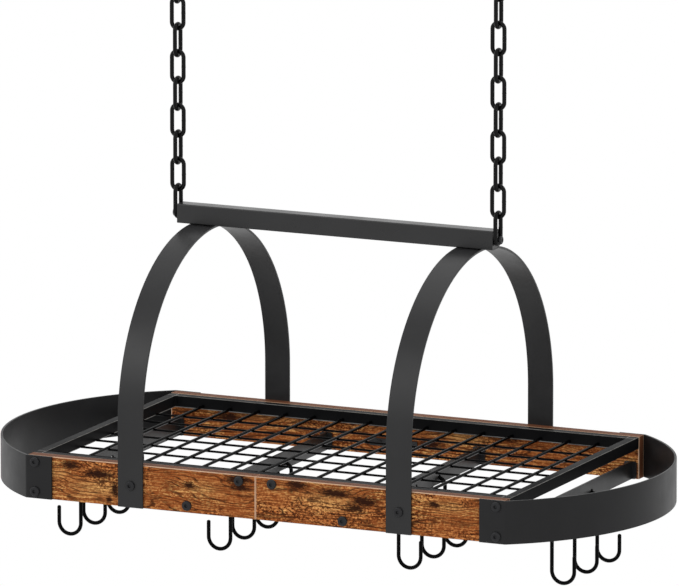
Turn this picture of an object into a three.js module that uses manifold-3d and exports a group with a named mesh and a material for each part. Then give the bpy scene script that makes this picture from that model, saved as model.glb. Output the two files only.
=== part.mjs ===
// Hanging pot rack: four boards and two bowed steel end bands round a wire shelf, two arches
// with a top bar, twelve S-hooks on four cross bars, and a chain at each end of the top bar.
// Millimetres, +Z up. The origin is on the ceiling, midway between the two ceiling hooks.

import * as THREE from "three";
import { mergeVertices } from "three/addons/utils/BufferGeometryUtils.js";
import Module from "manifold-3d";

const wasm = await Module();
wasm.setup();

// ---- overall sizes ----
const overallLength = 900;
const overallWidth = 446;
const railHeight = 56;
const bandBulge = 115;
const gap = 0.3;
const cutMargin = 1;

// ---- boards ----
const boardThickness = 15;
const boardEdge = 0.8;
const boardEndGap = 1.5;
const seamPlace = -13;

// ---- flat steel ----
const stripThickness = 3;
const tabLength = 36;
const archWidth = 35;
const archPlace = 187.5;
const archTop = 329;

// ---- top bar ----
const barLength = 444;
const barDepth = 20;
const barHeight = 25;
const barWall = 1.5;
const barEndWall = 3;
const barCorner = 0.9;

// ---- shelf: a frame of rectangular tube with a grid of welded wires ----
const frameEndRoom = 1.5;
const frameTubeWidth = 12;
const frameTubeHeight = 16;
const frameTubeWall = 1.5;
const depthWireDiameter = 4;
const depthWireSpacing = 40.2;
const longWireDiameter = 3;
const longWireSpacing = 45;
const gridEdgeRoom = 15;
const weldDepth = 0.2;

// ---- cross bars that carry the hooks ----
const innerCrossBarPlace = 109;
const crossBarOffset = 1;
const crossBarHeight = 23;
const crossBarLift = 0.5;
const crossBarTabWidth = 17;
const crossBarTabRadius = 3;
const hookSpacing = 72;
const hooksPerBar = 3;

// ---- hooks ----
const hookWireDiameter = 5;
const hookCollarRadius = 9.5;
const hookBowlRadius = 15.5;
const hookHoleRoom = 3;
const hookHoleFloor = 4.95;
const hookCollarLeg = 11.5;
const hookShank = 62.3;
const hookTipRise = 21;
const hookSeatAngle = 10;

// ---- bolts and screws ----
const boltRadius = 2.5;
const boltHeadRadius = 6.5;
const boltHeadHeight = 3;
const headTopShare = 0.8;
const socketShare = 0.4;
const socketDepthShare = 0.6;
const lowBoltHeight = 9.2;
const highBoltHeight = 47.7;
const archBoltHeight = 28.5;
const archBoltDepth = 12;
const tabBoltInset = 12.5;
const seamBoltOffset = 23;
const boltRunOut = 1;
const seamPlateLength = 68;
const seamPlateHeight = 10;
const seamPlateThickness = 2;
const seamPlateCorner = 1;
const seamPlateCentreHeight = 17;
const screwOffset = 20;
const screwRadius = 1.75;
const screwHeadRadius = 3.5;
const screwHeadHeight = 1.5;
const screwDepth = 9;

// ---- chains and ceiling hooks ----
const chainWireDiameter = 5.5;
const chainPitch = 35;
const chainInnerWidth = 11;
const linksPerChain = 10;
const chainBoltHeadRadius = 5.5;
const chainBoltHeadHeight = 2.5;
const chainBoltReach = 8;
const ceilingHookRod = 6;
const ceilingHookRadius = 11;
const ceilingHookTip = 20;
const ceilingHookStem = 30;
const ceilingHookNeck = 1.35;
const ceilingHookShoulder = 60;
const flangeRadius = 20;
const flangeThickness = 3;
const flangeHoleRadius = 2.2;
const flangeHoleOffset = 13;

// ---- facets ----
const chainSides = 8;
const hookSides = 6;
const gridSides = 6;
const archSteps = 24;
const bandSteps = 18;
const bendSteps = 6;
const linkSteps = 4;
const holeSides = 12;
const boltSides = 10;
const shankSides = 8;

// ---- places that follow from the sizes ----
const bandFace = overallWidth / 2;
const boardFace = bandFace - stripThickness - gap;
const boardBack = boardFace - boardThickness;
const frameFace = boardBack - gap;
const bandRadius = (bandFace ** 2 + bandBulge ** 2) / (2 * bandBulge);
const bandCentre = overallLength / 2 - bandRadius;
const bendPlace = overallLength / 2 - bandBulge;
const tabBoltPlace = bendPlace - tabBoltInset;
const frameTop = railHeight;
const frameBottom = frameTop - frameTubeHeight;
const frameEnd = bendPlace - frameEndRoom;
const frameInsideX = frameEnd - frameTubeWidth;
const frameInsideY = frameFace - frameTubeWidth;
const crossBarPlaces = [-tabBoltPlace, -innerCrossBarPlace, innerCrossBarPlace, tabBoltPlace];
const archInside = bandFace - stripThickness;
const archSpring = archTop - bandFace;
const barBottom = archTop + gap;
const barBoltHeight = barBottom + barHeight / 2;
const holeRadius = boltRadius + gap;
const hookHoleRadius = (hookWireDiameter + hookHoleRoom) / 2;
const chainPlace = barLength / 2 + gap + chainWireDiameter / 2;
const chainStart = barBoltHeight - boltRadius - gap;
const chainTop = chainStart + linksPerChain * chainPitch + gap;
const hookBowlCentre = chainTop - gap - ceilingHookRod / 2 + ceilingHookRadius;
const ceilingDrop = hookBowlCentre + ceilingHookRadius + ceilingHookStem;
const hookHoleHeight = crossBarLift + hookHoleFloor + hookHoleRadius;
const collarSeat = hookHoleHeight - hookHoleRadius + gap + hookWireDiameter / 2;

// ---- finishes ----
function finish(colour, roughness, metalness) {
  return new THREE.MeshStandardMaterial({ color: colour, roughness, metalness });
}
const woodFinish = () => finish(0x7d4a28, 0.6, 0);
const blackSteel = () => finish(0x2b2b2d, 0.45, 0.6);

// ---- solids: only joining and cutting is done here ----
function solidOf(geometry) {
  const bare = geometry.clone();
  bare.deleteAttribute("normal");
  bare.deleteAttribute("uv");
  const merged = mergeVertices(bare);
  const corners = merged.index.array;
  const kept = [];
  for (let i = 0; i < corners.length; i += 3) {
    const [a, b, c] = corners.slice(i, i + 3);
    if (a !== b && b !== c && c !== a) kept.push(a, b, c);
  }
  return new wasm.Manifold(
    new wasm.Mesh({
      numProp: 3,
      vertProperties: merged.attributes.position.array,
      triVerts: Uint32Array.from(kept),
    }),
  );
}

function geometryOf(solid) {
  const mesh = solid.getMesh();
  const geometry = new THREE.BufferGeometry();
  geometry.setAttribute("position", new THREE.BufferAttribute(mesh.vertProperties, 3));
  geometry.setIndex(new THREE.BufferAttribute(mesh.triVerts, 1));
  geometry.computeVertexNormals();
  return geometry;
}

function joined(pieces) {
  return geometryOf(pieces.map(solidOf).reduce((whole, piece) => whole.add(piece)));
}

function cut(geometry, tools) {
  return geometryOf(tools.map(solidOf).reduce((rest, tool) => rest.subtract(tool), solidOf(geometry)));
}

// ---- outlines and extrusions ----
function rectangle(x0, x1, y0, y1, corner = 0) {
  const shape = new THREE.Shape();
  const points = [];
  for (const [x, y, sx, sy] of [[x0, y0, 1, 1], [x1, y0, -1, 1], [x1, y1, -1, -1], [x0, y1, 1, -1]]) {
    const along = [x + sx * corner, y];
    const up = [x, y + sy * corner];
    if (corner === 0) points.push([x, y]);
    else if (sx === sy) points.push(up, along);
    else points.push(along, up);
  }
  shape.setFromPoints(points.map(([x, y]) => new THREE.Vector2(x, y)));
  return shape;
}

function roundHole(x, y, radius) {
  const hole = new THREE.Path();
  for (let i = 0; i < holeSides; i++) {
    const angle = (i / holeSides) * 2 * Math.PI;
    const point = [x + radius * Math.cos(angle), y + radius * Math.sin(angle)];
    if (i === 0) hole.moveTo(...point);
    else hole.lineTo(...point);
  }
  hole.closePath();
  return hole;
}

function extrude(shape, from, to, steps = bendSteps) {
  const geometry = new THREE.ExtrudeGeometry(shape, {
    depth: to - from,
    bevelEnabled: false,
    curveSegments: steps,
  });
  return geometry.translate(0, 0, from);
}

const AXIS_X = new THREE.Vector3(1, 0, 0);
const AXIS_Y = new THREE.Vector3(0, 1, 0);
const AXIS_Z = new THREE.Vector3(0, 0, 1);

// An outline in (Y, Z), carried along X.
function extrudeAlongX(shape, from, to, steps) {
  const turn = new THREE.Matrix4().makeBasis(AXIS_Y, AXIS_Z, AXIS_X);
  return extrude(shape, from, to, steps).applyMatrix4(turn);
}

// An outline in (X, Z), carried along Y.
function extrudeAlongY(shape, from, to, steps) {
  const turn = new THREE.Matrix4().makeBasis(AXIS_X, AXIS_Z, AXIS_Y.clone().negate());
  return extrude(shape, -to, -from, steps).applyMatrix4(turn);
}

// ---- bent wire: a path of straight runs and arcs in the XZ plane, with a section at each station ----
class BentPath extends THREE.Curve {
  constructor(stations) {
    super();
    this.stations = stations;
  }

  station(share) {
    return this.stations[Math.round(share * (this.stations.length - 1))];
  }

  getPointAt(share, target = new THREE.Vector3()) {
    return target.copy(this.station(share).point);
  }

  getTangentAt(share, target = new THREE.Vector3()) {
    return target.copy(this.station(share).tangent);
  }
}

function station(x, z, dx, dz) {
  return { point: new THREE.Vector3(x, 0, z), tangent: new THREE.Vector3(dx, 0, dz).normalize() };
}

function arcStations(x, z, radius, fromDegrees, toDegrees, steps) {
  const sense = Math.sign(toDegrees - fromDegrees);
  return Array.from({ length: steps + 1 }, (_, i) => {
    const angle = THREE.MathUtils.degToRad(fromDegrees + ((toDegrees - fromDegrees) * i) / steps);
    const [c, s] = [Math.cos(angle), Math.sin(angle)];
    return station(x + radius * c, z + radius * s, -sense * s, sense * c);
  });
}

function bentRod(stations, diameter, sides) {
  const corners = Array.from({ length: sides }, (_, i) => {
    const angle = (i / sides) * 2 * Math.PI;
    return new THREE.Vector2((diameter / 2) * Math.cos(angle), (diameter / 2) * Math.sin(angle));
  });
  const path = new BentPath(stations);
  return new THREE.ExtrudeGeometry(new THREE.Shape(corners), {
    steps: stations.length - 1,
    extrudePath: path,
  });
}

// A loop that closes on itself, so that it has no ends.
function closedRing(stations, diameter) {
  const path = new BentPath([...stations, stations[0]]);
  return new THREE.TubeGeometry(path, stations.length, diameter / 2, chainSides, true);
}

// ---- bolts: a low round head with a six-sided socket; the head points along +Y, its seat is at 0 ----
function bolt(length, radius, headRadius, headHeight) {
  const profile = [
    [0, -length],
    [radius, -length],
    [radius, 0],
    [headRadius, 0],
    [headRadius * headTopShare, headHeight],
    [0, headHeight],
  ].map(([r, y]) => new THREE.Vector2(r, y));
  const body = new THREE.LatheGeometry(profile, boltSides);
  const socketRadius = headRadius * socketShare;
  const socket = new THREE.CylinderGeometry(socketRadius, socketRadius, 2 * headHeight * socketDepthShare, 6);
  return cut(body, [socket.translate(0, headHeight, 0)]);
}

// side is +1 for a head towards +Y and -1 for a head towards -Y.
function boltOnSide(length, side, x, seat, z) {
  const geometry = bolt(length, boltRadius, boltHeadRadius, boltHeadHeight);
  if (side < 0) geometry.rotateX(Math.PI);
  return geometry.translate(x, side * seat, z);
}

function crossHole(radius, side, x, from, to, z) {
  const hole = new THREE.CylinderGeometry(radius, radius, to - from, shankSides);
  return hole.translate(x, (side * (from + to)) / 2, z);
}

// ---- boards ----
const throughBolts = [
  [-tabBoltPlace, lowBoltHeight],
  [-tabBoltPlace, highBoltHeight],
  [seamPlace - seamBoltOffset, highBoltHeight],
  [seamPlace + seamBoltOffset, highBoltHeight],
  [tabBoltPlace, lowBoltHeight],
  [tabBoltPlace, highBoltHeight],
  ...[-innerCrossBarPlace, innerCrossBarPlace].map((x) => [x, lowBoltHeight]),
];

function board(from, to, side) {
  const outline = rectangle(boardBack, boardFace, 0, railHeight, boardEdge);
  const blank = extrudeAlongX(outline, from, to);
  if (side < 0) blank.rotateZ(Math.PI).translate(from + to, 0, 0);
  const within = (x) => x > from && x < to;
  const holes = throughBolts
    .filter(([x]) => within(x))
    .map(([x, z]) => crossHole(holeRadius, side, x, boardBack - cutMargin, boardFace + cutMargin, z));
  const archHoles = [-archPlace, archPlace]
    .filter(within)
    .map((x) => {
      const depth = boardFace - archBoltDepth;
      return crossHole(holeRadius, side, x, depth, boardFace + cutMargin, archBoltHeight);
    });
  const screwHoles = [seamPlace - screwOffset, seamPlace + screwOffset].filter(within).map((x) => {
    const depth = boardBack + screwDepth + gap;
    return crossHole(screwRadius + gap, side, x, boardBack - cutMargin, depth, seamPlateCentreHeight);
  });
  return cut(blank, [...holes, ...archHoles, ...screwHoles]);
}

// ---- bowed end band, its two tabs on the boards and the four bolts through them ----
function endBand() {
  const outerAngle = Math.asin(bandFace / bandRadius);
  const innerRadius = bandRadius - stripThickness;
  const innerAngle = Math.asin(archInside / innerRadius);
  const tabEnd = bendPlace - tabLength;
  const outline = new THREE.Shape();
  outline.moveTo(tabEnd, bandFace);
  outline.lineTo(tabEnd, archInside);
  outline.absarc(bandCentre, 0, innerRadius, innerAngle, -innerAngle, true);
  outline.lineTo(tabEnd, -archInside);
  outline.lineTo(tabEnd, -bandFace);
  outline.absarc(bandCentre, 0, bandRadius, -outerAngle, outerAngle, false);
  const band = extrude(outline, 0, railHeight, bandSteps);
  const lowLength = bandFace - frameFace + stripThickness + boltRunOut;
  const highLength = bandFace - frameFace + frameTubeWall + boltRunOut;
  const bolts = [-1, 1].flatMap((side) => [
    boltOnSide(lowLength, side, tabBoltPlace, bandFace, lowBoltHeight),
    boltOnSide(highLength, side, tabBoltPlace, bandFace, highBoltHeight),
  ]);
  return joined([band, ...bolts]);
}

// ---- arch over the rack, with its foot bolts and the bolt up into the top bar ----
function arch() {
  const outline = new THREE.Shape();
  outline.moveTo(-bandFace, 0);
  outline.lineTo(-archInside, 0);
  outline.absarc(0, archSpring, archInside, Math.PI, 0, true);
  outline.lineTo(archInside, 0);
  outline.lineTo(bandFace, 0);
  outline.absarc(0, archSpring, bandFace, 0, Math.PI, false);
  const strip = extrudeAlongX(outline, -archWidth / 2, archWidth / 2, archSteps);
  const footLength = stripThickness + gap + archBoltDepth - boltRunOut;
  const feet = [-1, 1].map((side) => boltOnSide(footLength, side, 0, bandFace, archBoltHeight));
  const top = bolt(stripThickness + gap + barWall + boltRunOut, boltRadius, boltHeadRadius, boltHeadHeight);
  top.rotateX(-Math.PI / 2).translate(0, 0, archTop - stripThickness);
  return joined([strip, ...feet, top]);
}

// ---- top bar: a closed tube with a threaded plate in each end ----
function topBar() {
  const half = barLength / 2;
  const outline = rectangle(-barDepth / 2, barDepth / 2, barBottom, barBottom + barHeight, barCorner);
  const hollow = rectangle(
    -barDepth / 2 + barWall,
    barDepth / 2 - barWall,
    barBottom + barWall,
    barBottom + barHeight - barWall,
  );
  const endHole = new THREE.CylinderGeometry(holeRadius, holeRadius, barLength + 2 * cutMargin, holeSides);
  const footHoles = [-archPlace, archPlace].map((x) => {
    const hole = new THREE.CylinderGeometry(holeRadius, holeRadius, 2 * (barWall + cutMargin), holeSides);
    return hole.rotateX(Math.PI / 2).translate(x, 0, barBottom);
  });
  return cut(extrudeAlongX(outline, -half, half), [
    extrudeAlongX(hollow, -half + barEndWall, half - barEndWall),
    endHole.rotateZ(Math.PI / 2).translate(0, 0, barBoltHeight),
    ...footHoles,
  ]);
}

function chainBolt(side) {
  const reach = gap + chainWireDiameter + 2 * gap;
  const geometry = bolt(reach + chainBoltReach, boltRadius, chainBoltHeadRadius, chainBoltHeadHeight);
  geometry.rotateZ(-side * (Math.PI / 2));
  return geometry.translate(side * (barLength / 2 + reach), 0, barBoltHeight);
}

// ---- shelf ----
function shelfFrame() {
  const ring = (inset) => {
    const shape = rectangle(-frameEnd + inset, frameEnd - inset, -frameFace + inset, frameFace - inset);
    const [x, y] = [frameInsideX + inset, frameInsideY + inset];
    shape.holes.push(rectangle(-x, x, -y, y));
    return shape;
  };
  const tube = extrude(ring(0), frameBottom, frameTop);
  const hollow = extrude(ring(frameTubeWall), frameBottom + frameTubeWall, frameTop - frameTubeWall);
  const highBolts = throughBolts.filter(([, z]) => z === highBoltHeight);
  const [from, to] = [frameFace - 2 * frameTubeWall, frameFace + cutMargin];
  const holes = [-1, 1].flatMap((side) =>
    highBolts.map(([x, z]) => crossHole(holeRadius, side, x, from, to, z)),
  );
  return cut(tube, [hollow, ...holes]);
}

function places(count, spacing) {
  return Array.from({ length: count }, (_, i) => (i - (count - 1) / 2) * spacing);
}

// As many places as fit within the reach to either side, one of them in the middle.
function evenPlaces(reach, spacing) {
  return places(2 * Math.floor(reach / spacing) + 1, spacing);
}

// A straight wire with a flat towards +Z and -Z, along X or Y.
function straightWire(diameter, length, alongX) {
  const wire = new THREE.CylinderGeometry(diameter / 2, diameter / 2, length, gridSides, 1);
  wire.rotateY(Math.PI / gridSides);
  return alongX ? wire.rotateZ(Math.PI / 2) : wire;
}

function shelfGrid() {
  const flat = Math.cos(Math.PI / gridSides) / 2;
  const longWireHeight = frameBottom + flat * longWireDiameter;
  const depthWireHeight = longWireHeight + flat * (longWireDiameter + depthWireDiameter) - weldDepth;
  const depthWires = evenPlaces(frameInsideX - gridEdgeRoom, depthWireSpacing).map((x) =>
    straightWire(depthWireDiameter, 2 * (frameInsideY - gap), false).translate(x, 0, depthWireHeight),
  );
  const longWires = evenPlaces(frameInsideY - gridEdgeRoom, longWireSpacing).map((y) =>
    straightWire(longWireDiameter, 2 * (frameInsideX - gap), true).translate(0, y, longWireHeight),
  );
  return joined([...depthWires, ...longWires]);
}

// ---- cross bars ----
function crossBar(ownBolts) {
  const tabInside = frameFace - stripThickness;
  const top = crossBarLift + crossBarHeight;
  const plate = rectangle(-tabInside - weldDepth, tabInside + weldDepth, crossBarLift, top);
  for (const y of places(hooksPerBar, hookSpacing)) {
    plate.holes.push(roundHole(y, hookHoleHeight, hookHoleRadius));
  }
  const bar = extrudeAlongX(plate, crossBarOffset - stripThickness / 2, crossBarOffset + stripThickness / 2);
  const tabs = [-1, 1].map((side) => {
    const half = crossBarTabWidth / 2;
    const tab = rectangle(-half, half, crossBarLift, top, crossBarTabRadius);
    const [from, to] = side > 0 ? [tabInside, frameFace] : [-frameFace, -tabInside];
    return extrudeAlongY(tab, from, to);
  });
  const tee = joined([bar, ...tabs]);
  if (ownBolts) {
    const length = boardFace + gap - frameFace + stripThickness + boltRunOut;
    const bolts = [-1, 1].map((side) => boltOnSide(length, side, 0, boardFace + gap, lowBoltHeight));
    return joined([tee, ...bolts]);
  }
  const holes = [-1, 1].map((side) =>
    crossHole(holeRadius, side, 0, tabInside - stripThickness, frameFace + cutMargin, lowBoltHeight),
  );
  return cut(tee, holes);
}

// ---- S-hook: the collar goes through the bar, the shank and bowl hang on its +X side ----
function sHook() {
  const collarCentre = collarSeat - hookCollarRadius * Math.cos(THREE.MathUtils.degToRad(hookSeatAngle));
  const bowlX = hookCollarRadius + hookBowlRadius;
  const bowlZ = collarCentre - hookShank;
  return bentRod(
    [
      station(-hookCollarRadius, collarCentre - hookCollarLeg, 0, 1),
      ...arcStations(0, collarCentre, hookCollarRadius, 180, 90 + hookSeatAngle, bendSteps / 2),
      ...arcStations(0, collarCentre, hookCollarRadius, 90 - hookSeatAngle, 0, bendSteps / 2),
      ...arcStations(bowlX, bowlZ, hookBowlRadius, 180, 360, bendSteps),
      station(bowlX + hookBowlRadius, bowlZ + hookTipRise, 0, 1),
    ],
    hookWireDiameter,
    hookSides,
  );
}

// ---- seam plates, each with its two screws, and the bolts beside the seam ----
function seamPlate(side) {
  const half = seamPlateLength / 2;
  const z = seamPlateCentreHeight;
  const [low, high] = [z - seamPlateHeight / 2, z + seamPlateHeight / 2];
  const outline = rectangle(-half, half, low, high, seamPlateCorner);
  const inside = frameFace - seamPlateThickness;
  const [from, to] = side > 0 ? [inside, frameFace] : [-frameFace, -inside];
  const screws = [-screwOffset, screwOffset].map((x) => {
    const length = seamPlateThickness + gap + screwDepth;
    const screw = bolt(length, screwRadius, screwHeadRadius, screwHeadHeight);
    if (side > 0) screw.rotateX(Math.PI);
    return screw.translate(x, side * inside, z);
  });
  return joined([extrudeAlongY(outline, from, to), ...screws]).translate(seamPlace, 0, 0);
}

function seamBolt(side, x) {
  const length = boardFace + gap - frameFace + frameTubeWall + boltRunOut;
  return boltOnSide(length, side, x, boardFace + gap, highBoltHeight);
}

// ---- chain and ceiling hook ----
function chainLink() {
  const radius = (chainInnerWidth + chainWireDiameter) / 2;
  const bottom = radius - chainWireDiameter / 2;
  const top = chainPitch + gap - bottom;
  const ends = [
    arcStations(0, bottom, radius, 180, 360, linkSteps),
    arcStations(0, top, radius, 0, 180, linkSteps),
  ];
  return closedRing(ends.flat(), chainWireDiameter);
}

function ceilingHook() {
  const wire = [
    station(0, ceilingHookRadius + ceilingHookStem - flangeThickness / 2, 0, -1),
    station(0, ceilingHookRadius * ceilingHookNeck, 0, -1),
    ...arcStations(0, 0, ceilingHookRadius, ceilingHookShoulder, -90, bendSteps),
    ...arcStations(0, 0, ceilingHookRadius, -90, -180 - ceilingHookTip, bendSteps - 2).slice(1),
  ];
  const top = ceilingHookRadius + ceilingHookStem;
  const plate = new THREE.Shape().absarc(0, 0, flangeRadius, 0, 2 * Math.PI);
  plate.holes.push(roundHole(flangeHoleOffset, 0, flangeHoleRadius));
  plate.holes.push(roundHole(-flangeHoleOffset, 0, flangeHoleRadius));
  const flange = extrude(plate, top - flangeThickness, top, holeSides);
  return joined([bentRod(wire, ceilingHookRod, chainSides).rotateZ(Math.PI / 2), flange]);
}

// ---- assembly ----
const rack = new THREE.Group();
rack.position.z = -ceilingDrop;

function add(name, geometry, material, place = [0, 0, 0], turn = 0) {
  const mesh = new THREE.Mesh(geometry, material);
  mesh.name = name;
  mesh.position.set(...place);
  mesh.rotation.z = turn;
  rack.add(mesh);
}

const sides = [["front", -1], ["back", 1]];
const boardEnd = bendPlace - boardEndGap;
for (const [name, side] of sides) {
  add(`${name}_left_board`, board(-boardEnd, seamPlace - gap / 2, side), woodFinish());
  add(`${name}_right_board`, board(seamPlace + gap / 2, boardEnd, side), woodFinish());
  add(`${name}_seam_plate`, seamPlate(side), blackSteel());
  add(`${name}_seam_bolt_left`, seamBolt(side, seamPlace - seamBoltOffset), blackSteel());
  add(`${name}_seam_bolt_right`, seamBolt(side, seamPlace + seamBoltOffset), blackSteel());
}

const band = endBand();
const archStrip = arch();
const link = chainLink();
const ceilingFitting = ceilingHook();
for (const [name, side] of [["left", -1], ["right", 1]]) {
  const turn = side < 0 ? Math.PI : 0;
  add(`${name}_end_band`, band, blackSteel(), [0, 0, 0], turn);
  add(`${name}_arch`, archStrip, blackSteel(), [side * archPlace, 0, 0]);
  add(`${name}_chain_bolt`, chainBolt(side), blackSteel());
  for (let i = 0; i < linksPerChain; i++) {
    const across = i % 2 === 0 ? Math.PI / 2 : 0;
    const label = String(i + 1).padStart(2, "0");
    const place = [side * chainPlace, 0, chainStart + i * chainPitch];
    add(`${name}_chain_link_${label}`, link, blackSteel(), place, across);
  }
  add(`${name}_ceiling_hook`, ceilingFitting, blackSteel(), [side * chainPlace, 0, hookBowlCentre]);
}

add("top_bar", topBar(), blackSteel());
add("shelf_frame", shelfFrame(), blackSteel());
add("shelf_grid", shelfGrid(), blackSteel());

const hook = sHook();
const hookRows = places(hooksPerBar, hookSpacing);
crossBarPlaces.forEach((x, bar) => {
  const ownBolts = bar > 0 && bar < crossBarPlaces.length - 1;
  add(`cross_bar_${bar + 1}`, crossBar(ownBolts), blackSteel(), [x, 0, 0]);
  hookRows.forEach((y, row) => {
    const turn = x < 0 ? Math.PI : 0;
    add(`hook_${bar + 1}_${row + 1}`, hook, blackSteel(), [x + crossBarOffset, y, 0], turn);
  });
});

const potRack = new THREE.Group();
potRack.add(rack);
export default potRack;
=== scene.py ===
"""A hanging pot rack: boards and bowed bands round a wire shelf, arches, top bar, hooks, chains.

Metres, +Z up. The origin is on the ceiling, midway between the two ceiling hooks.
"""

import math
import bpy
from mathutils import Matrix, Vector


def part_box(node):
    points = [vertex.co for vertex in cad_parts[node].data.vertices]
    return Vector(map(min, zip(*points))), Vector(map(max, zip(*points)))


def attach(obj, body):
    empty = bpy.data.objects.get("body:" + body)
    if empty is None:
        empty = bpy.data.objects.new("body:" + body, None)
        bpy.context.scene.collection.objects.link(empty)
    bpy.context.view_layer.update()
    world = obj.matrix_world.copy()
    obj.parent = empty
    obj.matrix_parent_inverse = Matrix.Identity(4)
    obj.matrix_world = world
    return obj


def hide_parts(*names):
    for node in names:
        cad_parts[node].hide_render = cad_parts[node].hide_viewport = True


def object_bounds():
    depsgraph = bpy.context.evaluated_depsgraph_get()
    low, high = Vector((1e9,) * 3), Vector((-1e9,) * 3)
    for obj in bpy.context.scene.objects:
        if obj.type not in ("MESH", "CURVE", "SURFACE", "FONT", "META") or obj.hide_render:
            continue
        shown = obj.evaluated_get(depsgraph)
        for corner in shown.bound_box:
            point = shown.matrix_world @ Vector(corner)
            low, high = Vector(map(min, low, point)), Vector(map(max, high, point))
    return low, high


bl_info = {
    "name": "Hanging Pot Rack",
    "version": (1, 0, 0),
    "blender": (4, 5, 0),
    "location": "View3D > Sidebar > Pot Rack",
    "description": "Models a pot rack that hangs on two chains",
    "category": "Add Mesh",
}

from functools import reduce

import bmesh
import bpy
from bpy.props import FloatProperty, FloatVectorProperty, IntProperty, PointerProperty
from bpy.types import Operator, Panel, PropertyGroup
from mathutils import Matrix, Vector

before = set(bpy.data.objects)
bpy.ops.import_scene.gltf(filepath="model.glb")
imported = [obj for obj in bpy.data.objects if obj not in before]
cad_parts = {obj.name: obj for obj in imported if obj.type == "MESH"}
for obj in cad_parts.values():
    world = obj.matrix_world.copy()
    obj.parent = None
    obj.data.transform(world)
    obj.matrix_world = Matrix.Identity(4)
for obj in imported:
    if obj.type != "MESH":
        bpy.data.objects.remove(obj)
cad_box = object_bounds()
rail_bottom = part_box("front_left_board")[0].z
MM = 0.001
SIDES = {"left": -1, "right": 1}
FACES = {"front": -1, "back": 1}

# ---- fixed sizes, which the panel leaves out ----
# bolts: heights above the boards' lower edge, offsets, depths and heads
LOW_BOLT = 9.2 * MM
HIGH_BOLT = 47.7 * MM
ARCH_BOLT = 28.5 * MM
TAB_BOLT_INSET = 12.5 * MM
SEAM_BOLT_OFFSET = 23 * MM
ARCH_BOLT_DEPTH = 12 * MM
CHAIN_BOLT_DEPTH = 8 * MM
BOLT_RUN_OUT = 1 * MM
HEAD_HEIGHT = 3 * MM
CHAIN_HEAD_RADIUS = 5.5 * MM
CHAIN_HEAD_HEIGHT = 2.5 * MM
BOLT_DOME = 0.62  # of the head's height
BOLT_POINT = 0.25  # of the shank's radius
SOCKET_SHARE = 0.4  # of the head's radius and height
# seam plates and their screws
PLATE_PLACE = 17 * MM
PLATE_HALF_LENGTH = 34 * MM
PLATE_HALF_HEIGHT = 5 * MM
PLATE_THICKNESS = 2 * MM
SCREW_HEAD_RADIUS = 3.5 * MM
SCREW_HEAD_HEIGHT = 1.5 * MM
SCREW_SHANK = 1.75 * MM
SCREW_DEPTH = 9 * MM
SCREW_OFFSET = 20 * MM
# top bar and shelf
TUBE_WALL = 1.5 * MM
BAR_DRILL_DEPTH = 12 * MM
END_PLATE_RIM = 0.9 * MM
END_PLATE_SLOPE = 0.2 * MM
END_PLATE_SINK = 0.4 * MM
WIRE_MARGIN = 15 * MM
WELD_SINK = 0.5 * MM
# cross bars and hooks
CROSS_BAR_LIFT = 0.5 * MM
TAB_OVERLAP = 0.2 * MM
HOOK_HOLE_RADIUS = 4 * MM
HOOK_HOLE_EDGE = 4.95 * MM
HOOK_HOLE_HEIGHT = CROSS_BAR_LIFT + HOOK_HOLE_EDGE + HOOK_HOLE_RADIUS
COLLAR_LEG = 11.5 * MM
TIP_RISE = 21 * MM
SEAT_ANGLE = math.radians(10)
# chains and ceiling hooks
LINK_WELD = 1.2 * MM
LINK_WELD_SWELL = 1.07
CEILING_ROD = 6 * MM
CEILING_RADIUS = 11 * MM
CEILING_STEM = 30 * MM
CEILING_BEND = 6 * MM
CEILING_SWEEP = 200
FLANGE_RADIUS = 20 * MM
FLANGE_THICKNESS = 3 * MM
FLANGE_HOLE = 2.2 * MM
FLANGE_HOLE_OFFSET = 13 * MM
# rounding of edges and corners
BOARD_END_EDGE = 0.4 * MM
STRIP_EDGE = 0.5 * MM
BAR_EDGE = 1.4 * MM
FRAME_EDGE = 1.2 * MM
CROSS_BAR_EDGE = 0.4 * MM
CROSS_BAR_CORNER = 3 * MM
PLATE_EDGE = 0.3 * MM
PLATE_CORNER = 1.5 * MM
FLANGE_EDGE = 1 * MM
WIRE_TIP = 0.42  # of the wire's diameter
# sides of round pieces, and steps of long bends
ROUND_SIDES = 32
DRILL_SIDES = 24
HEAD_SIDES = 40
FLANGE_SIDES = 64
WIRE_SIDES = 20
GRID_WIRE_SIDES = 16
BOW_STEPS = 72
# lines and layers that the materials draw
EDGE_LINE = 1.2 * MM
SEAM_LINE = 0.8 * EDGE_LINE
# width of the painted highlight lines on the shelf frame's corners
HIGHLIGHT_LINE = 0.7 * MM
EDGE_BAND = 0.1 * MM
SPOT_DEPTH = 100.0


# ---- sizes and colours ----
def length(name, description, default, **settings):
    """A length in metres that is given in millimetres."""
    settings = {"min": 0.0, "unit": "LENGTH", "precision": 4} | settings
    return FloatProperty(name=name, description=description, default=default * MM, **settings)


def colour(name, description, *levels):
    """A colour whose red, green and blue are given as they look on the screen, from 0 to 255."""
    linear = [((v / 255 + 0.055) / 1.055) ** 2.4 if v > 10 else v / 255 / 12.92 for v in levels]
    settings = {"subtype": "COLOR", "size": 4, "min": 0, "max": 1, "default": (*linear, 1)}
    return FloatVectorProperty(name=name, description=description, **settings)


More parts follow.
